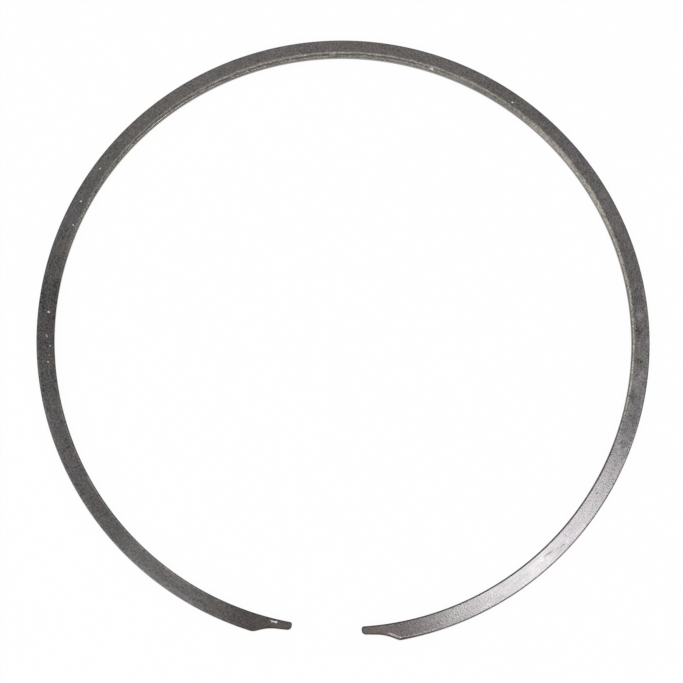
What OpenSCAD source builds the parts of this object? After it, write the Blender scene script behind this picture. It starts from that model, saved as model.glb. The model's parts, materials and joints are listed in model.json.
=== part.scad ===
// Internal retaining ring bent from flat spring-steel wire with rounded edges.
// It lies flat around the Z axis, with its middle plane at Z = 0 and its gap on -Y.
// Each end is cut away on its outer side, which leaves a tab in line with the inner edge.

/* [Ring] */
// Outside diameter of the free ring
ring_d = 160; // [120:1:240]
// Radial width of the wire
wire_w = 4.7; // [4.2:0.1:8]
// Thickness of the wire
wire_t = 2; // [1.8:0.1:4]
// Rounding along both edges of the inner side
inner_edge_r = 0.4; // [0.3:0.05:0.85]
// Rounding along both edges of the outer side
outer_edge_r = 0.3; // [0.25:0.05:0.85]

/* [Ends] */
// Distance between the two tips, across the gap
gap_w = 18; // [13:0.5:40]
// Length of a tab, from its tip to the foot of the shoulder
tab_len = 6; // [4:0.1:12]
// Width of a tab at its tip
tab_tip_w = 2.05; // [1.95:0.05:2.5]
// Width of a tab at the foot of the shoulder
tab_foot_w = 2.7; // [2.2:0.05:3.3]
// Slope of the shoulder against the run of the wire, in degrees
shoulder_angle = 29; // [22:1:60]
// Rounding in the foot of the shoulder
shoulder_foot_r = 12; // [2:0.5:13]
// Rounding on top of the shoulder
shoulder_top_r = 2; // [1:0.1:3]
// Rounding of a tip's inner corner
tip_inner_r = 0.7; // [0.4:0.05:0.75]
// Rounding of a tip's outer corner
tip_outer_r = 1.1; // [0.4:0.05:1.15]
// Edge break along the cut sides of the ends
cut_break = 0.2; // [0.1:0.05:0.25]

/* [Hidden] */
$fn = 180;

// Steps in each arc of an end's outline
arc_steps = 6;
// How far a cutter runs past the wire along the ring, and past its flat faces
over = 1;
over_face = 0.1;

outer_r = ring_d / 2;
inner_r = outer_r - wire_w;

// Directions at an angle a from the middle of the gap, on the +X end: away from the axis, and away from the gap
function outward(a) = [sin(a), -cos(a)];
function along(a) = [cos(a), sin(a)];
function unit(v) = v / norm(v);
function heading(v) = atan2(v[1], v[0]);

// Angles of a tip and of the foot of its shoulder, seen from the ring's axis
tip_a = asin(gap_w / 2 / (inner_r + tab_tip_w / 2));
foot_a = tip_a + tab_len / (inner_r + tab_foot_w) * 180 / PI;

// The two straight lines of the end's outer side: the tab's, from tip to foot, and the ramp's
tip = outward(tip_a) * (inner_r + tab_tip_w);
foot = outward(foot_a) * (inner_r + tab_foot_w);
tab_dir = unit(foot - tip);
ramp_dir = along(foot_a) * cos(shoulder_angle) + outward(foot_a) * sin(shoulder_angle);
ramp_in = along(foot_a) * sin(shoulder_angle) - outward(foot_a) * cos(shoulder_angle);

// An arc is its centre, the points where it starts and ends, and what a growing cut adds to its radius.
// This one joins the two lines that leave corner p along u and v.
function arc_between(p, u, v, r, grows) =
    let (half = acos(u * v) / 2)
    [p + unit(u + v) * r / sin(half), p + u * r / tan(half), p + v * r / tan(half), grows];

tip_outer_arc = arc_between(tip, -outward(tip_a), tab_dir, tip_outer_r, -1);
foot_arc = arc_between(foot, -tab_dir, ramp_dir, shoulder_foot_r, 1);

// The tip's inner arc touches the ring's inner edge and the end face
tip_inner_a = tip_a + asin(tip_inner_r / (inner_r + tip_inner_r));
tip_inner_c = outward(tip_inner_a) * (inner_r + tip_inner_r);
tip_inner_arc = [tip_inner_c, outward(tip_inner_a) * inner_r, tip_inner_c - along(tip_a) * tip_inner_r, -1];

// The arc on top of the shoulder touches the ramp and the ring's outer edge
top_base = foot + ramp_in * shoulder_top_r;
top_c = top_base + ramp_dir * (
    sqrt(pow(top_base * ramp_dir, 2) - top_base * top_base + pow(outer_r - shoulder_top_r, 2))
    - top_base * ramp_dir);
top_arc = [top_c, top_c - ramp_in * shoulder_top_r, unit(top_c) * outer_r, -1];

// Points along an arc, with the cut grown into the wire by g
function arc_points(arc, g) =
    let (
        r = norm(arc[1] - arc[0]) + arc[3] * g,
        from = heading(arc[1] - arc[0]),
        turn = (heading(arc[2] - arc[0]) - from + 540) % 360 - 180
    )
    [for (i = [0:arc_steps]) arc[0] + r * [cos(from + turn * i / arc_steps), sin(from + turn * i / arc_steps)]];

// Outline of the end, from the inner edge round the tip and up the shoulder to the outer edge
function end_line(g) = concat(
    arc_points(tip_inner_arc, g),
    arc_points(tip_outer_arc, g),
    arc_points(foot_arc, g),
    arc_points(top_arc, g));

// The same number of points, clear of the wire on the cut's far side
function fanned(arc) = [for (p = arc_points(arc, 0)) p + (wire_w + over) * unit(p - arc[0])];
function shifted(arc) = [for (p = arc_points(arc, 0)) p + (wire_w + over) * outward(foot_a)];
function far_line() = concat(
    fanned(tip_inner_arc),
    fanned(tip_outer_arc),
    shifted(foot_arc),
    shifted(top_arc));

// A side of the wire's section: a straight wall between two roundings, whose centres lie at x
module section_side(x, r) {
    straight = wire_t - 2 * r;
    translate([x - r, -straight / 2])
        square([2 * r, straight]);
    for (y = [-straight / 2, straight / 2])
        translate([x, y])
            circle(r = r);
}

// Section of the wire, with its radius along X and its height along Y
module wire_section() {
    translate([inner_r + inner_edge_r, -wire_t / 2])
        square([wire_w - inner_edge_r - outer_edge_r, wire_t]);
    section_side(inner_r + inner_edge_r, inner_edge_r);
    section_side(outer_r - outer_edge_r, outer_edge_r);
}

module bent_wire() {
    start_a = tip_a - over / outer_r * 180 / PI;
    rotate([0, 0, start_a - 90])
        rotate_extrude(angle = 360 - 2 * start_a)
            wire_section();
}

// What is cut away round an end: a wall that follows its outline and flares at both flat faces
module end_cut() {
    levels = [
        [-wire_t / 2 - over_face, cut_break + over_face],
        [-wire_t / 2 + cut_break, 0],
        [wire_t / 2 - cut_break, 0],
        [wire_t / 2 + over_face, cut_break + over_face],
    ];
    far = far_line();
    n = len(far);
    rings = [for (l = levels) [
        for (p = end_line(l[1])) [p[0], p[1], l[0]],
        for (i = [n - 1:-1:0]) [far[i][0], far[i][1], l[0]],
    ]];
    polyhedron(
        points = [for (ring = rings) each ring],
        faces = [
            for (k = [0:len(levels) - 2], i = [0:2 * n - 1])
                let (a = 2 * n * k, j = (i + 1) % (2 * n))
                [a + i, a + j, a + 2 * n + j, a + 2 * n + i],
            for (i = [0:n - 2])
                [i + 1, i, 2 * n - 1 - i, 2 * n - 2 - i],
            for (i = [0:n - 2])
                let (a = 2 * n * (len(levels) - 1))
                [a + i, a + i + 1, a + 2 * n - 2 - i, a + 2 * n - 1 - i],
        ]);
}

module retaining_ring() {
    color("dimgray")
        difference() {
            bent_wire();
            end_cut();
            mirror([1, 0, 0])
                end_cut();
        }
}

retaining_ring();
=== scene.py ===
import json
import math

import bpy
import numpy as np
from mathutils import Matrix, Vector


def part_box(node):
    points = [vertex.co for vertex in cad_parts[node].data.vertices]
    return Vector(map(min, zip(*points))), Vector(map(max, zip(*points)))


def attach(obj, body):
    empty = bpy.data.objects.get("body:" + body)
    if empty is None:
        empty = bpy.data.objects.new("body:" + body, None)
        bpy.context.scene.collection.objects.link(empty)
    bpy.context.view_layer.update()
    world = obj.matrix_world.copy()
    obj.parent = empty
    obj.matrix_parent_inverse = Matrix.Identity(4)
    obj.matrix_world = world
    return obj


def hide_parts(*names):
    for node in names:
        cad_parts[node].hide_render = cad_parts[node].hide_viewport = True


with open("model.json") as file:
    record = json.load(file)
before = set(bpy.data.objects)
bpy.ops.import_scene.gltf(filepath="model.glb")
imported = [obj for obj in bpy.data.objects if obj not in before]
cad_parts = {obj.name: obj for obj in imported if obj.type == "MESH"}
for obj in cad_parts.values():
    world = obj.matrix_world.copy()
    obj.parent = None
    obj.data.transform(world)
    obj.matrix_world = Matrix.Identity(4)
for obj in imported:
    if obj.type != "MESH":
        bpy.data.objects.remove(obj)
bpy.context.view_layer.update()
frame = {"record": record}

# An open retaining ring of dark, oiled spring wire that lies flat on a pale floor, seen from above.
# Lengths are in metres. The ring's axis is Z and the middle of its gap is on -Y.
# An angle round the ring is in degrees, from +X towards +Y.


def heading(angle):
    # The unit vector in the floor plane at an angle round the ring
    return Vector((math.cos(math.radians(angle)), math.sin(math.radians(angle)), 0))


def seen(red, green, blue):
    # A colour as a picture shows it, from 0 to 255, as the linear colour that nodes take
    shares = [value / 255 for value in (red, green, blue)]
    return tuple(s / 12.92 if s < 0.04045 else ((s + 0.055) / 1.055) ** 2.4 for s in shares) + (1,)


# The camera is nearly above the ring and leans a little towards the gap
camera = {
    "distance": 0.8,
    "lean": 9.78,  # degrees off the ring's axis
    "leanHeading": 265.9,
    "upHeading": 93.3,
    "lens": 161.51,
    "sensor": 36.0,
    "shift": (-0.00316, -0.00477),
    "nearest": 0.01,  # what is closer than this isn't drawn
}


def addCamera(look):
    lean = math.radians(look["lean"])
    back = heading(look["leanHeading"]) * math.sin(lean) + Vector((0, 0, math.cos(lean)))
    right = heading(look["upHeading"]).cross(back).normalized()
    up = back.cross(right)
    data = bpy.data.cameras.new("camera")
    data.lens = look["lens"]
    data.sensor_width = look["sensor"]
    data.shift_x, data.shift_y = look["shift"]
    data.clip_start = look["nearest"]
    holder = bpy.data.objects.new("camera", data)
    turned = Matrix((right, up, back)).transposed().to_4x4()
    holder.matrix_world = Matrix.Translation(back * look["distance"]) @ turned
    bpy.context.collection.objects.link(holder)
    bpy.context.scene.camera = holder


addCamera(camera)
print("camera placed")


def setStops(ramp, stops):
    # A ramp has two stops at first. The second one goes, and one is added for each further place.
    ramp.elements.remove(ramp.elements[1])
    for number, (place, grey) in enumerate(stops):
        stop = ramp.elements.new(place) if number else ramp.elements[0]
        stop.position = place
        stop.color = (grey, grey, grey, 1)


class Term:
    # A number, colour or vector in a node tree. Sums written with numbers add Math nodes.
    def __init__(self, tree, socket=None):
        self.tree = tree
        self.socket = socket

    def node(self, kind, settings=None, inputs=None, output=0):
        # Adds a node: its settings are set first, and then its sockets get values or links
        made = self.tree.nodes.new(kind)
        for name, value in (settings or {}).items():
            if name == "stops":
                setStops(made.color_ramp, value)
            else:
                setattr(made.color_ramp if name == "interpolation" else made, name, value)
        for name, value in (inputs or {}).items():
            if isinstance(value, Term):
                self.tree.links.new(value.socket, made.inputs[name])
            else:
                made.inputs[name].default_value = value
        return None if output is None else Term(self.tree, made.outputs[output])

    def output(self, name):
        # Another output of the node that this one comes from
        return Term(self.tree, self.socket.node.outputs[name])

    def maths(self, operation, *others):
        return self.node("ShaderNodeMath", {"operation": operation}, dict(enumerate((self, *others))))

    def vector(self, operation, *others, output=0):
        return self.node("ShaderNodeVectorMath", {"operation": operation},
                         dict(enumerate((self, *others))), output)

    def mix(self, first, second):
        # From the first colour to the second as this goes from 0 to 1
        return self.node("ShaderNodeMix", {"data_type": "RGBA"}, {0: self, 6: first, 7: second}, 2)

    def rise(self, start, stop):
        # 0 before start and 1 past stop, with a soft S between. Start may be the greater one.
        return self.node("ShaderNodeMapRange", {"interpolation_type": "SMOOTHSTEP"},
                         {"Value": self, "From Min": start, "From Max": stop})

    def __add__(self, other):
        return self.maths("ADD", other)

    def __sub__(self, other):
        return self.maths("SUBTRACT", other)

    def __rsub__(self, other):
        return self.node("ShaderNodeMath", {"operation": "SUBTRACT"}, {0: other, 1: self})

    def __mul__(self, other):
        return self.maths("MULTIPLY", other)

    __radd__ = __add__
    __rmul__ = __mul__


def newMaterial(name):
    # A material with an empty tree, and the term that its first nodes start from
    material = bpy.data.materials.new(name)
    material.use_nodes = True
    material.node_tree.nodes.clear()
    return material, Term(material.node_tree)


low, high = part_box("retaining_ring")
walls = {mount["name"]: mount["dims"] for mount in frame["record"]["mounts"]}
ring = {
    "outerRadius": high.x,
    "innerRadius": walls["inner_clearance"]["r_mm"] / 1000,
    "halfThickness": (high.z - low.z) / 2,
    "innerEdge": (high.z - low.z - walls["inner_clearance"]["length_mm"] / 1000) / 2,
    "outerEdge": (high.z - low.z - walls["groove_seat"]["length_mm"] / 1000) / 2,
    "gapWidth": 0.018,
    "across": 40,  # steps from the inner to the outer edge
    "tipSteps": 14,
    "endSteps": 110,
    "bodySteps": 330,
    "sharpAngle": 38,  # faces that meet at more than this aren't smoothed into each other
}
ends = {
    "tabLength": 0.006,
    "tipWidth": 0.00205,
    "footWidth": 0.0027,
    "shoulderAngle": 29,
    "footRadius": 0.012,
    "topRadius": 0.002,
    "tipInnerRadius": 0.0007,
    "tipOuterRadius": 0.0011,
    "cutBreak": 0.0002,
}
leftEnd = dict(ends, topRadius=0.003)  # its shoulder is a little more worn


# In plan a point is a complex number, and an angle is in radians from the middle of the gap
def outward(angle):
    return -1j * np.exp(1j * angle)


def along(angle):
    return np.exp(1j * angle)


def dot(a, b):
    return (np.conj(a) * b).real


def cross(a, b):
    return (np.conj(a) * b).imag


def unit(a):
    return a / abs(a)


def gapAngle(point):
    return np.angle(point * 1j)


def joinedArc(corner, first, second, radius):
    # The centre and both ends of the arc that joins two lines, which leave a corner in two directions
    half = np.arccos(dot(first, second)) / 2
    reach = radius / np.tan(half)
    centre = corner + unit(first + second) * radius / np.sin(half)
    return centre, corner + first * reach, corner + second * reach


def lineReach(angle, point, direction):
    # Distance from the axis at which a ray meets the line through a point
    return cross(point, direction) / cross(outward(angle), direction)


def circleReach(angle, centre, radius, side):
    # Distance from the axis at which a ray meets a circle, on its far side (1) or its near side (-1)
    middle = dot(outward(angle), centre)
    offset = cross(outward(angle), centre)
    return middle + side * np.sqrt(np.clip(radius ** 2 - offset ** 2, 0, None))


def drop(distance, radius):
    # How far a rounded edge lies below the face, at a distance in from the edge: a quarter circle
    return radius - np.sqrt(radius ** 2 - np.clip(radius - distance, 0, radius) ** 2)


def halfRing(size, cut):
    # One half of the ring, from the tip of the +X end to the middle of the back.
    # The end has a tab in line with the inner edge, a concave foot, a straight ramp and a rounded top.
    inner, outer = size["innerRadius"], size["outerRadius"]
    innerCorner, outerCorner = cut["tipInnerRadius"], cut["tipOuterRadius"]
    footRadius, topRadius = cut["footRadius"], cut["topRadius"]
    tipAngle = np.arcsin(size["gapWidth"] / 2 / (inner + cut["tipWidth"] / 2))
    footAngle = tipAngle + cut["tabLength"] / (inner + cut["footWidth"])
    tip = outward(tipAngle) * (inner + cut["tipWidth"])
    foot = outward(footAngle) * (inner + cut["footWidth"])
    tab = unit(foot - tip)
    ramp = along(footAngle - math.radians(cut["shoulderAngle"]))
    outerTip, _, tabStart = joinedArc(tip, -outward(tipAngle), tab, outerCorner)
    innerTip = outward(tipAngle + np.arcsin(innerCorner / (inner + innerCorner))) * (inner + innerCorner)
    footCentre, footStart, footStop = joinedArc(foot, -tab, ramp, footRadius)
    # The top arc's centre is a radius inside the ramp and a radius inside the outer edge
    base = foot + 1j * ramp * topRadius
    run = dot(base, ramp)
    top = base + ramp * (math.sqrt(run ** 2 - abs(base) ** 2 + (outer - topRadius) ** 2) - run)
    # Angles at which the outer side is past the tip's corner, the tab, the foot, the ramp and the top
    pastTip, pastTab, pastFoot, pastRamp, pastTop = [
        gapAngle(p) for p in (tabStart, footStart, footStop, top - 1j * ramp * topRadius, top)]

    # Sections stand close together round the tip's corners and along the cut
    quarter = np.linspace(0, math.pi / 2, size["tipSteps"] + 1)
    angle = np.concatenate((
        tipAngle + (pastTip - tipAngle) * (1 - np.cos(quarter)),
        np.linspace(pastTip, pastTop, size["endSteps"] + 1)[1:],
        np.linspace(pastTop, math.pi, size["bodySteps"] + 1)[1:]))

    outerReach = np.select(
        [angle < pastTip, angle < pastTab, angle < pastFoot, angle < pastRamp, angle < pastTop],
        [circleReach(angle, outerTip, outerCorner, 1), lineReach(angle, tip, tab),
         circleReach(angle, footCentre, footRadius, -1), lineReach(angle, foot, ramp),
         circleReach(angle, top, topRadius, 1)], outer)
    innerCircle = circleReach(angle, innerTip, innerCorner, -1)
    innerReach = np.where(angle < gapAngle(innerTip), innerCircle, inner)

    # Across a section the points lie closer towards both edges
    share = (1 - np.cos(np.linspace(0, math.pi, size["across"] + 1))) / 2
    reach = innerReach[:, None] + (outerReach - innerReach)[:, None] * share
    turn = angle[:, None] + 0 * reach
    point = outward(turn) * reach

    # How far a point lies in from the cut sides, by the line or arc that is next to it
    fromTip = point - outerTip
    fromInnerTip = point - innerTip
    faceAlong = along(tipAngle)
    tabDepth = np.minimum(dot(faceAlong, point), dot(1j * tab, point - tip))
    onOuterCorner = (dot(tab, fromTip) < 0) & (dot(outward(tipAngle), fromTip) > 0)
    onInnerCorner = (dot(faceAlong, fromInnerTip) < 0) & (dot(outward(tipAngle), fromInnerTip) < 0)
    tabDepth = np.where(onOuterCorner, outerCorner - abs(fromTip), tabDepth)
    tabDepth = np.where(onInnerCorner, innerCorner - abs(fromInnerTip), tabDepth)
    topDepth = np.where(reach > abs(top), topRadius - abs(point - top), outer)
    depth = np.select(
        [turn < pastTab, turn < pastFoot, turn < pastRamp, turn < pastTop],
        [tabDepth, abs(point - footCentre) - footRadius, dot(1j * ramp, point - foot), topDepth], outer)
    wireDrop = drop(reach - inner, size["innerEdge"]) + drop(outer - reach, size["outerEdge"])
    height = size["halfThickness"] - np.maximum(wireDrop, drop(depth, cut["cutBreak"]))
    return point, height, depth


def addRing(size, firstCut, secondCut):
    # Both halves are joined at the back. Each section runs over the upper face, down the outer
    # edge, back along the lower face and up the inner edge, and the sections are joined by strips.
    point, height, depth = halfRing(size, firstCut)
    otherPoint, otherHeight, otherDepth = halfRing(size, secondCut)
    point = np.concatenate((point, -np.conj(otherPoint[-2::-1])))
    height = np.concatenate((height, otherHeight[-2::-1]))
    depth = np.concatenate((depth, otherDepth[-2::-1]))
    count, width = point.shape
    loop = np.concatenate((point, point[:, ::-1]), axis=1)
    level = np.concatenate((height, -height[:, ::-1]), axis=1)
    places = np.stack((loop.real, loop.imag, level), axis=-1).reshape(-1, 3)
    number = np.arange(count * 2 * width).reshape(count, 2 * width)
    after = np.roll(number, -1, axis=1)
    strips = np.stack((number[:-1], after[:-1], after[1:], number[1:]), axis=-1).reshape(-1, 4)
    # The two tips are closed between the upper and the lower face
    upper, lower = number[:, :width], number[:, :width - 1:-1]
    caps = np.stack((upper[:, :-1], lower[:, :-1], lower[:, 1:], upper[:, 1:]), axis=-1)
    faces = np.concatenate((strips, caps[0], caps[-1][:, ::-1]))
    mesh = bpy.data.meshes.new("spring_ring")
    mesh.from_pydata(places.tolist(), [], faces.tolist())
    # The material reads how far in from the cut sides a point lies, in millimetres
    fromCut = 1000 * np.concatenate((depth, depth[:, ::-1]), axis=1)
    mesh.attributes.new("fromCut", "FLOAT", "POINT").data.foreach_set("value", fromCut.ravel())
    mesh.shade_smooth()
    mesh.set_sharp_from_angle(angle=math.radians(size["sharpAngle"]))
    piece = bpy.data.objects.new("spring_ring", mesh)
    bpy.context.collection.objects.link(piece)
    return piece


piece = addRing(ring, ends, leftEnd)
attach(piece, "root")
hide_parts("retaining_ring")
print("ring made:", len(piece.data.polygons), "faces")


# Lengths on the surface are in millimetres from here on
steel = {
    "metallic": 1.0,
    "roughness": 0.17,
    "bumpDepth": 0.0001,
    # The band along the inner edge is worn metal with painted sheen, brightest on the right
    "bandWidth": 0.70,  # of the worn band along the inner edge, and how much wider it is at the back
    "bandWider": 0.94,
    "markDepth": 0.8,  # how far a mark runs down a wall
    "wobbleScale": 2.6,  # of the noise that moves the marks a little, and how far it moves them
    "wobble": 0.9,
    "colours": {
        "face": seen(98, 95, 93),
        "green": seen(95, 96, 92),
        "plum": seen(101, 95, 97),
        "blue": seen(93, 93, 97),
        "warm": seen(105, 100, 97),
        "silver": seen(97, 95, 97),
        "leftEnd": seen(79, 74, 73),
        "rightEnd": seen(83, 78, 79),
        # Worn metal along the inner edge, with painted sheen where it is bright on the right
        "wearAndSheen": seen(158, 154, 146),
        # Painted highlight on the rounding of the outer edge along the lower right
        "paintedHighlight": seen(205, 203, 203),
        # Painted shade: the dark line along the back and the darker rounding of the inner edge
        "paintedShade": seen(88, 84, 80),
        # Rubbed lighter metal with painted sheen, on the outer edge and beside the inner edge on the lower
        # left
        "rubAndSheen": seen(117, 116, 116),
        # Painted glint on the right shoulder's ramp and outer edge, broken by scuffs
        "scuffAndGlint": seen(150, 142, 139),
        # Painted shade on the walls and the cut sides
        "outline": seen(60, 57, 54),
        "tabOlive": seen(86, 82, 72),
        "tabPlum": seen(92, 83, 82),
        "tabPale": seen(93, 90, 87),
        "oil": seen(72, 73, 70),
        "rust": seen(94, 79, 72),
        "pit": seen(42, 39, 40),
        "speck": seen(244, 238, 232),
    },
    # Stretches round the ring: first and last angle, how softly it ends, and strength
    "stretches": {
        "warm": (78, 125, 36, 0.4),
        "silver": (290, 346, 12, 0.6),
        "leftEnd": (251, 266, 4, 1),
        "rightEnd": (272, 288, 6, 1),
        "rightBand": (347, 54, 8, 1),
        "backBand": (46, 122, 12, 1),
        "leftBand": (110, 158, 16, 0.38),
        "darkLine": (74, 150, 12, 0.9),
        "lineInward": (100, 124, 6, 0.2),
        # Stretches of the outer edge that are rubbed and carry painted sheen
        "rubAndSheenLeft": (172, 250, 6, 0.6),
        "rubAndSheenRight": (345, 15, 8, 0.6),
        "rubAndSheenWide": (229, 245, 4, 0.5),
        # Painted highlight on the outer rounding
        "paintedHighlight": (289, 349, 5, 0.2),
        "innerLight": (192, 244, 8, 0.75),
        "rimRight": (345, 55, 8, 0.5),
        "rimLeft": (105, 150, 12, 0.35),
        "brownCut": (279.5, 282, 0.8, 0.6),
        # Painted glint on the ramp and along the outer edge
        "scuffAndGlintRamp": (281.6, 285.4, 0.5, 1),
        "scuffAndGlintEdge": (284, 290, 2, 0.4),
        "evenHighlight": (279, 338, 5, 1),
        "evenEnd": (276, 292, 3, 0.4),
        # Painted shade on the walls, stronger on the right and the upper left
        "darkWallRight": (335, 30, 20, 0.3),
        "darkWallLeft": (110, 165, 15, 0.25),
        "dull": (343, 12, 3, 0.1),
    },
    # Bands along an edge, by the distance in from it: where a band starts, is full, fades and stops
    "bands": {
        "backCore": (-0.05, 0.2, 0.42, 0.65),
        "darkLine": (0.4, 0.62, 0.85, 1.1),
        "innerLight": (0.1, 0.25, 0.5, 0.75),
        "brownCut": (0.15, 0.3, 0.45, 0.65),
        "scuffAndGlintRamp": (0.4, 0.55, 0.75, 1),
        "scuffAndGlintEdge": (0.3, 0.45, 0.65, 0.85),
    },
    # Grains: length of a patch round the ring, width across it, seed, and detail
    "grains": {
        "green": (6, 3, 1, 2),
        "plum": (5, 2.5, 7, 2),
        "blue": (2.6, 1.6, 61, 2),
        "ragged": (2.2, 1.2, 19, 2),
        "uneven": (0.9, 0.6, 23, 2),
        "broken": (2.6, 1.2, 29, 2),
        "scuffs": (0.6, 0.4, 53, 2),
        "mottle": (3.2, 1.6, 31, 2),
        "fine": (0.44, 0.34, 37, 1),
        "drawn": (9, 0.34, 71, 1),
    },
    # Soft steps of a grain or a distance: the value that gives 0, and the one that gives 1
    "fades": {
        "green": (0.46, 0.58),
        "plum": (0.48, 0.60),
        "blue": (0.50, 0.62),
        "uneven": (0.25, 0.65),
        "broken": (0.34, 0.46),
        "scuffs": (0.40, 0.58),
        "crispBand": (-0.1, 0.15),
        "bandCore": (0.1, 0.4),
        "softBand": (-0.1, 0.25),
        "rubAndSheen": (1.2, 0.5),
        "rubAndSheenWide": (1.9, 1.1),
        "paintedHighlightFace": (0.55, 0.25),
        "paintedHighlightWall": (0.16, 0.06),
        "rim": (0.3, 0.1),
        "wall": (0.12, 0.4),
        "cutSide": (0.4, 0.12),
        "mark": (1.25, 0.45),
    },
    # How much of a thing is added, where a stretch doesn't say it
    "amounts": {
        "green": 0.7,
        "plum": 0.7,
        "blue": 0.6,
        "ragged": 0.7,
        "raggedRubSheen": 0.5,
        "raggedHighlight": 0.2,
        "crispBand": 0.6,
        "bandCore": 0.4,
        "backCore": 0.28,
        "backPlain": 0.42,
        "uneven": 0.5,
        "unevenLeast": 0.7,
        "scuffs": 0.7,
        "scuffsLeast": 0.3,
        "mottle": 0.5,
        "fine": 2.1,
        "drawn": 0.5,
        "wall": 0.45,
        "cutSide": 0.75,
        "roughMottle": 0.12,
        "roughFine": 0.1,
        "bump": 0.08,
    },
    # Brightness at some angles round the ring, from the gap on, partly painted shade and light:
    # lighter at the back and the lower left, and darker on the left and past the highlight
    "tones": [
        (281, 1.0), (286, 0.95), (291, 0.95), (296, 1.02), (312, 0.99), (324, 0.95), (336, 1.0),
        (340, 1.0), (348, 0.87), (357, 0.85), (4, 0.80), (12, 0.86), (20, 0.99), (32, 1.06),
        (44, 1.01), (60, 0.97), (80, 1.07), (112, 1.08), (138, 1.03), (152, 0.94), (163, 0.93),
        (177, 0.65), (190, 0.77), (200, 0.92), (222, 0.91), (232, 1.20), (240, 1.22), (247, 1.02),
    ],
    # Marks on the upper face: angle round the ring, distance from the inner edge, length round the
    # ring, width across it, strength, and the slant of the length in degrees where it has one
    "paleStains": [
        (7.8, 2.4, 2.6, 2.4, 0.40), (356.1, 3.0, 3.0, 1.6, 0.36), (2.2, 2.0, 2.0, 1.7, 0.20),
        (13.6, 2.9, 2.7, 2.2, 0.24), (0.1, 2.9, 3.1, 2.0, 0.20), (354.6, 2.0, 3.4, 2.6, 0.22),
        (342.3, 1.3, 6.0, 1.7, 0.16), (353.2, 3.2, 2.8, 3.2, 0.16), (33.0, 3.7, 2.2, 0.9, 0.26),
        (50.7, 2.3, 1.6, 1.9, 0.20), (65.1, 3.5, 2.4, 0.9, 0.14), (83.9, 1.8, 1.3, 1.3, 0.14),
        (151.2, 1.4, 1.9, 1.0, 0.16), (195.7, 2.5, 1.8, 1.8, 0.14), (226.5, 4.0, 1.6, 0.7, 0.14),
        (301.0, 3.5, 3.2, 0.9, 0.12), (314.3, 1.8, 3.2, 1.4, 0.14), (2.6, 4.1, 1.2, 0.9, 0.34),
    ],
    "darkStains": [
        (358.8, 2.1, 1.9, 2.2, 0.30), (10.7, 2.1, 2.4, 3.0, 0.20), (4.7, 1.9, 3.8, 1.6, 0.20),
        (351.9, 1.4, 3.6, 2.4, 0.24), (342.4, 2.6, 2.2, 3.2, 0.22), (340.2, 3.3, 2.4, 2.2, 0.20),
        (17.3, 3.7, 1.6, 0.8, 0.18), (29.6, 1.5, 1.5, 0.9, 0.18), (36.3, 1.2, 1.7, 0.8, 0.20),
        (148.5, 1.8, 2.0, 0.9, 0.20), (163.5, 2.9, 1.8, 2.3, 0.18), (173.0, 1.5, 2.2, 1.1, 0.28),
        (189.4, 4.0, 1.3, 0.5, 0.18), (304.0, 3.4, 3.2, 0.9, 0.12), (348.0, 3.2, 3.6, 2.6, 0.12),
        (8.0, 1.9, 18.0, 1.2, 0.10), (24.0, 1.9, 12.0, 1.0, 0.06),
    ],
    "marks": {
        "tabOlive": [
            (257.6, 1.3, 3.4, 2.2, 0.4), (262.3, 1.1, 2.2, 0.8, 0.9), (262.9, 1.7, 1.2, 0.5, 0.5),
            (279.2, 1.5, 5.0, 1.7, 0.9, -4), (277.6, 0.7, 1.4, 0.6, 0.4),
        ],
        "tabPlum": [(277.5, 1.2, 1.2, 1.0, 0.6), (280.4, 0.9, 3.4, 1.1, 0.6)],
        "tabPale": [(260.8, 1.5, 6.0, 1.6, 0.55, -3), (257.0, 3.2, 3.0, 1.6, 0.3, -15)],
        "oil": [(255.9, 4.0, 2.4, 1.2, 0.4, -15), (257.6, 1.3, 1.8, 1.4, 0.3)],
        "rust": [
            (281.1, 2.2, 1.5, 0.9, 0.55, 25), (91.5, 0.8, 1.8, 0.6, 0.5), (94.6, 0.35, 3.4, 0.5, 0.6),
            (28.6, 0.6, 2.2, 0.6, 0.4), (108.6, 2.9, 1.2, 1.4, 0.3), (183.0, 1.8, 2.2, 1.8, 0.2),
        ],
        "pit": [
            (331.5, 1.85, 0.65, 0.5, 0.9), (321.3, 2.03, 0.55, 0.5, 0.6), (316.4, 1.98, 3.2, 0.3, 0.6, 9),
            (318.5, 2.7, 0.6, 0.35, 0.5), (319.6, 3.1, 1.9, 0.3, 0.6, 14), (327.3, 3.3, 0.9, 0.4, 0.3, 50),
            (339.5, 3.5, 0.6, 0.4, 0.4), (359.6, 1.3, 0.7, 0.4, 0.4),
        ],
        "speck": [
            (75.4, 0.65, 1.0, 0.65, 1.0), (73.9, 0.6, 0.4, 0.3, 0.5), (155.7, 2.5, 0.5, 0.45, 0.85, 30),
            (58.1, 2.2, 0.5, 0.45, 0.9), (183.2, 2.0, 0.65, 0.45, 0.7), (185.1, 1.0, 0.4, 0.35, 0.7),
            (186.9, 1.4, 0.4, 0.35, 0.5), (188.3, 2.0, 0.5, 0.35, 0.6), (178.5, 1.9, 0.5, 0.45, 0.75),
            (160.6, 1.5, 0.5, 0.4, 0.65, 20), (148.3, 2.8, 0.45, 0.4, 0.6), (38.9, 0.5, 0.6, 0.4, 0.55),
            (141.3, 0.95, 0.4, 0.35, 0.4), (101.1, 1.25, 0.5, 0.35, 0.45), (54.4, 0.65, 0.5, 0.35, 0.4),
            (259.95, 0.88, 1.1, 0.4, 0.85, -11), (259.15, 0.74, 0.9, 0.3, 0.6, -8),
            (259.6, 0.82, 1.2, 0.3, 0.7, -10),
        ],
    },
}


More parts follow.
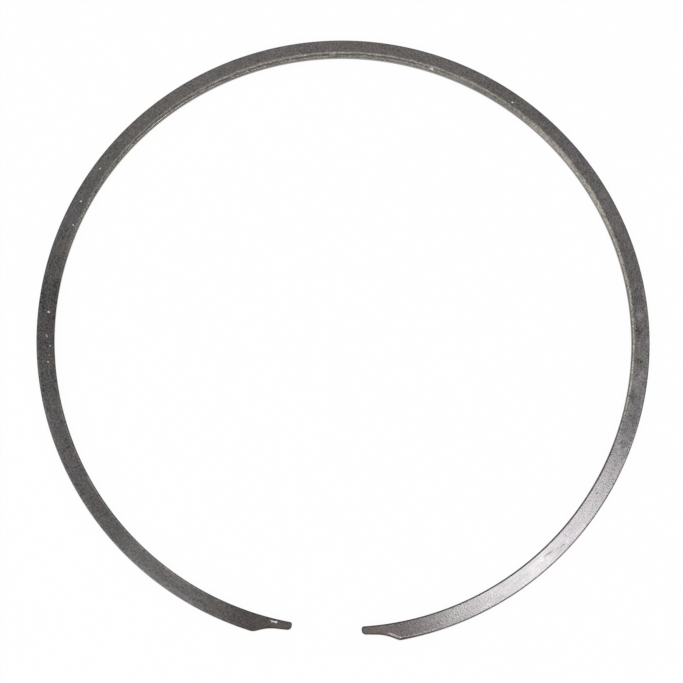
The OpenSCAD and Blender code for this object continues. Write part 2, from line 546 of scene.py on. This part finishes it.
def ringPlace(start, size, look):
    # Where a point of the surface lies: its direction from the axis, and its lengths in millimetres
    millimetre = 1000
    point = start.node("ShaderNodeTexCoord", output="Object").vector("MULTIPLY", (millimetre,) * 3)
    flat = point.vector("MULTIPLY", (1, 1, 0))
    radius = flat.vector("LENGTH", output=1)
    level = point.node("ShaderNodeSeparateXYZ", inputs={0: point}, output="Z")
    # Marks are drawn at places that a fine noise moves a little, so that none is a neat oval
    noise = point.node("ShaderNodeTexNoise", inputs={
        "Vector": point, "Scale": look["wobbleScale"], "Detail": 1.0}, output="Color")
    moved = noise.vector("SUBTRACT", (0.5, 0.5, 0.5)).vector("MULTIPLY", (look["wobble"], look["wobble"], 0))
    return {
        "unsteady": point.vector("ADD", moved),
        "radius": radius,
        "direction": flat.vector("NORMALIZE"),
        "level": level,
        "fromInner": radius - size["innerRadius"] * millimetre,
        "fromOuter": size["outerRadius"] * millimetre - radius,
        "fromFace": size["halfThickness"] * millimetre - level.maths("ABSOLUTE"),
        "fromCut": start.node("ShaderNodeAttribute", {"attribute_name": "fromCut"}, output="Fac"),
        "face": size["halfThickness"] * millimetre,
        "inner": size["innerRadius"] * millimetre,
    }


def grain(place, name):
    # Noise around a half, in patches that are as long round the ring and as wide across it as told
    length, width, seed, detail = steel["grains"][name]
    turns = place["inner"] / length
    turned = place["direction"].vector("MULTIPLY", (turns, turns, 0))
    across = turned.node("ShaderNodeCombineXYZ", inputs={"X": seed, "Z": place["radius"] * (1 / width)})
    return turned.node("ShaderNodeTexNoise", {"noise_dimensions": "4D"}, {
        "Vector": turned.vector("ADD", across), "W": place["level"] * (1 / width),
        "Scale": 1.0, "Detail": detail, "Roughness": 0.6})


def fade(value, name):
    # A soft step by its name
    return value.rise(*steel["fades"][name])


def patches(place, name):
    # A grain with its values set apart: 1 in some places and 0 in others
    return fade(grain(place, name), name)


def facing(place, angle):
    # How much a point's direction from the axis agrees with an angle round the ring, from -1 to 1
    return place["direction"].vector("DOT_PRODUCT", heading(angle), output=1)


def stretch(place, name):
    # A stretch's strength between its two angles round the ring, with soft ends, and 0 elsewhere
    first, last, soft, strength = steel["stretches"][name]
    half = ((last - first) % 360) / 2
    whole = facing(place, first + half).rise(math.cos(math.radians(half + soft)),
                                             math.cos(math.radians(max(half - soft, 0))))
    return whole if strength == 1 else whole * strength


def band(value, name):
    # 1 between the two middle values of a band, and 0 before its first and past its last
    start, full, fading, stop = steel["bands"][name]
    return value.rise(start, full) * value.rise(stop, fading)


def mark(place, angle, fromInner, length, width, strength, slant=0):
    # A soft oval on the upper face, as strong as told in its middle: the distance from its middle
    # is taken along its length and across it, each as a share of half the oval's own
    centre = heading(angle) * (place["inner"] + fromInner)
    centre.z = place["face"]
    away = place["unsteady"].vector("SUBTRACT", centre)
    turned = away.node("ShaderNodeVectorRotate", {"rotation_type": "Z_AXIS"}, {
        "Vector": away, "Angle": math.radians(slant - angle)})
    oval = turned.vector("MULTIPLY", (2 / width, 2 / length, 1 / steel["markDepth"]))
    return fade(oval.vector("LENGTH", output=1), "mark") * strength


def allMarks(place, rows):
    total = mark(place, *rows[0])
    for row in rows[1:]:
        total = total.maths("MAXIMUM", mark(place, *row))
    return total


def oiledSteel(place, look):
    # Greenish, purplish and bluish patches, warmer at the back, more even in the highlight on the
    # lower right, and browned at both ends
    colour = look["colours"]["face"]
    for name in ("green", "plum", "blue"):
        colour = (patches(place, name) * look["amounts"][name]).mix(colour, look["colours"][name])
    for name in ("warm", "silver", "leftEnd", "rightEnd"):
        colour = stretch(place, name).mix(colour, look["colours"][name])
    return colour


# Broad tones round the ring, partly painted shade and light
def broadTone(place, look):
    # The ramp starts at the gap, and holds half of each value because it stops at 1
    parts = place["direction"].node("ShaderNodeSeparateXYZ", inputs={0: place["direction"]})
    turn = parts.output("Y").maths("ARCTAN2", parts) * (0.5 / math.pi) + 0.25
    stops = [((angle + 90) % 360 / 360, tone / 2) for angle, tone in look["tones"]]
    ramp = turn.node("ShaderNodeValToRGB", {"interpolation": "EASE", "stops": stops},
                     {"Fac": turn.maths("FRACT")})
    return ramp * 2


def wearAndSheenEdges(place, look, colour):
    colours, amounts = look["colours"], look["amounts"]
    # The inner edge is worn in a band that is widest at the back. It is bright on the right and dull
    # on the left, partly as painted sheen. Along the back a broken dark line of painted shade splits it.
    ragged = grain(place, "ragged")
    inBand = facing(place, 90).maths("MAXIMUM", 0) * look["bandWider"] + look["bandWidth"]
    inBand = inBand - place["fromInner"] + (ragged - 0.5) * amounts["ragged"]
    right = fade(inBand, "crispBand") * amounts["crispBand"] + fade(inBand, "bandCore") * amounts["bandCore"]
    right = right * stretch(place, "rightBand")
    back = fade(inBand, "softBand") * (band(inBand, "backCore") * amounts["backCore"] + amounts["backPlain"])
    left = fade(inBand, "softBand") * stretch(place, "leftBand")
    strength = right.maths("MAXIMUM", back * stretch(place, "backBand")).maths("MAXIMUM", left)
    uneven = patches(place, "uneven") * amounts["uneven"] + amounts["unevenLeast"]
    colour = (strength * uneven).mix(colour, colours["wearAndSheen"])
    broken = patches(place, "broken")
    # A broken dark line of painted shade along the back
    line = band(inBand - stretch(place, "lineInward"), "darkLine") * stretch(place, "darkLine")
    colour = (line * broken).mix(colour, colours["paintedShade"])

    # The outer edge is lighter, partly rubbed and partly painted sheen, most on the left and the right,
    # and a painted highlight lies on its rounding along the lower right
    rubAndSheen = fade(place["fromOuter"] + ragged * amounts["raggedRubSheen"], "rubAndSheen")
    rubAndSheen = rubAndSheen * (stretch(place, "rubAndSheenLeft") + stretch(place, "rubAndSheenRight"))
    wider = fade(place["fromOuter"] + ragged * amounts["raggedRubSheen"], "rubAndSheenWide")
    wider = wider * stretch(place, "rubAndSheenWide")
    colour = rubAndSheen.maths("MAXIMUM", wider).mix(colour, colours["rubAndSheen"])
    # Painted highlight on the rounding of the outer edge
    paintedHighlight = fade(place["fromOuter"] + ragged * amounts["raggedHighlight"], "paintedHighlightFace")
    paintedHighlight = paintedHighlight * fade(place["fromFace"], "paintedHighlightWall") * stretch(place, "paintedHighlight")
    colour = paintedHighlight.mix(colour, colours["paintedHighlight"])

    # On the lower left a broken light line runs beside the inner edge
    inward = band(place["fromInner"], "innerLight") * stretch(place, "innerLight")
    colour = (inward * broken).mix(colour, colours["rubAndSheen"])

    # Painted shade darkens the rounding of the inner edge again on the right and the upper left
    rim = stretch(place, "rimRight") + stretch(place, "rimLeft")
    colour = (fade(place["fromInner"], "rim") * rim).mix(colour, colours["paintedShade"])

    # Browned along the right shoulder's cut side, with a painted glint, broken by scuffs, inside of that
    # and a little way along the outer edge
    brown = band(place["fromCut"], "brownCut") * stretch(place, "brownCut")
    colour = brown.mix(colour, colours["rust"])
    scuffs = patches(place, "scuffs")
    ramp = band(place["fromCut"], "scuffAndGlintRamp") * stretch(place, "scuffAndGlintRamp")
    edge = band(place["fromOuter"], "scuffAndGlintEdge") * stretch(place, "scuffAndGlintEdge")
    scuffAndGlint = (ramp + edge) * (scuffs * amounts["scuffs"] + amounts["scuffsLeast"])
    return scuffAndGlint.mix(colour, colours["scuffAndGlint"])


def steelMaterial(look, size):
    material, start = newMaterial("spring_steel")
    place = ringPlace(start, size, look)
    colours, amounts = look["colours"], look["amounts"]
    colour = wearAndSheenEdges(place, look, oiledSteel(place, look))

    # Mottling, fine grain, broad stains and broad tones partly of painted shade, as a share of the colour
    mottle = grain(place, "mottle")
    fine = grain(place, "fine")
    drawn = grain(place, "drawn")
    fineShare = amounts["fine"] - stretch(place, "evenHighlight") - stretch(place, "evenEnd")
    shade = broadTone(place, look) + (mottle - 0.5) * amounts["mottle"] + (fine - 0.5) * fineShare
    shade = shade + (drawn - 0.5) * amounts["drawn"]
    shade = shade + allMarks(place, look["paleStains"]) - allMarks(place, look["darkStains"])
    colour = colour.node("ShaderNodeVectorMath", {"operation": "SCALE"}, {0: colour, "Scale": shade})
    for name, rows in look["marks"].items():
        colour = allMarks(place, rows).mix(colour, colours[name])

    # Painted shade darkens the walls and the cut sides
    wall = stretch(place, "darkWallRight") + stretch(place, "darkWallLeft") + amounts["wall"]
    wall = wall * fade(place["fromFace"], "wall")
    hidden = wall.maths("MAXIMUM", fade(place["fromCut"], "cutSide") * amounts["cutSide"])
    colour = hidden.mix(colour, colours["outline"])

    dull = stretch(place, "dull")
    rough = (mottle - 0.5) * amounts["roughMottle"] + (fine - 0.5) * amounts["roughFine"]
    bump = start.node("ShaderNodeBump", inputs={
        "Strength": amounts["bump"], "Distance": look["bumpDepth"], "Height": fine})
    shader = start.node("ShaderNodeBsdfPrincipled", inputs={
        "Base Color": colour,
        "Metallic": look["metallic"],
        "Roughness": rough + dull + look["roughness"],
        "Normal": bump,
    })
    start.node("ShaderNodeOutputMaterial", inputs={"Surface": shader}, output=None)
    return material


piece.data.materials.append(steelMaterial(steel, ring))
print("steel finished")


stage = {
    "floorWidth": 4.0,
    "hair": 0.00002,  # how far the floor lies above the ring's lower face
    "floorColour": seen(250, 250, 250),
    "ownWhite": 0.95,  # share of the floor that is plain white whatever falls on it
    "skyTop": 0.95,
    "skyBack": 0.25,  # at the horizon, behind the ring
    "skyFront": 0.6,  # at the horizon, on the camera's side
    "skyFull": 0.85,  # the height, from 0 at the horizon to 1, at which it has its top value
}
# Soft lamps that face the ring: place, width, and power in watts
lamps = {
    "camera_lamp": ((0.1198, 0.0238, 0.788), 0.105, 0.288),
    "front_left_lamp": (heading(215) * 0.9 + Vector((0, 0, 0.55)), 0.7, 1.2),
}


def floorMaterial(look):
    # White where the camera, a reflection or glass looks at it, apart from a part that takes the shadow
    material, start = newMaterial("pale_floor")
    paint = start.node("ShaderNodeBsdfDiffuse", inputs={"Color": look["floorColour"]})
    white = start.node("ShaderNodeEmission", inputs={"Color": (1, 1, 1, 1), "Strength": 1.0})
    ray = start.node("ShaderNodeLightPath", output="Is Camera Ray")
    looked = ray.maths("MAXIMUM", ray.output("Is Glossy Ray"))
    looked = looked.maths("MAXIMUM", ray.output("Is Transmission Ray"))
    both = start.node("ShaderNodeMixShader", inputs={0: looked * look["ownWhite"], 1: paint, 2: white})
    start.node("ShaderNodeOutputMaterial", inputs={"Surface": both}, output=None)
    return material


def addFloor(look):
    # The floor lies a hair above the ring's lower face, so that the two don't flicker from below
    half, level = look["floorWidth"] / 2, low.z + look["hair"]
    mesh = bpy.data.meshes.new("floor")
    corners = [(-half, -half, level), (half, -half, level), (half, half, level), (-half, half, level)]
    mesh.from_pydata(corners, [], [(0, 1, 2, 3)])
    mesh.materials.append(floorMaterial(look))
    floor = bpy.data.objects.new("floor", mesh)
    bpy.context.collection.objects.link(floor)


def addLamp(name, place, width, power):
    data = bpy.data.lights.new(name, "AREA")
    data.shape = "DISK"
    data.size = width
    data.energy = power
    lamp = bpy.data.objects.new(name, data)
    lamp.location = place
    lamp.rotation_mode = "QUATERNION"
    lamp.rotation_quaternion = Vector(place).to_track_quat("Z", "Y")
    bpy.context.collection.objects.link(lamp)


def addRoomLight(look):
    # Plain soft light that grows from the horizon to straight above, and is darker at the back
    world = bpy.data.worlds.new("room")
    world.use_nodes = True
    world.node_tree.nodes.clear()
    start = Term(world.node_tree)
    way = start.node("ShaderNodeTexCoord", output="Generated")
    up = start.node("ShaderNodeSeparateXYZ", inputs={0: way}, output="Z").rise(0.0, look["skyFull"])
    front = way.vector("DOT_PRODUCT", heading(camera["leanHeading"]), output=1).rise(-1.0, 1.0)
    edge = front * (look["skyFront"] - look["skyBack"]) + look["skyBack"]
    glow = edge + (look["skyTop"] - edge) * up
    light = start.node("ShaderNodeBackground", inputs={"Color": (1, 1, 1, 1), "Strength": glow})
    start.node("ShaderNodeOutputWorld", inputs={"Surface": light}, output=None)
    bpy.context.scene.world = world


addFloor(stage)
addRoomLight(stage)
for name, (place, width, power) in lamps.items():
    addLamp(name, place, width, power)
bpy.context.scene.view_settings.view_transform = "Standard"
print("floor and light set")
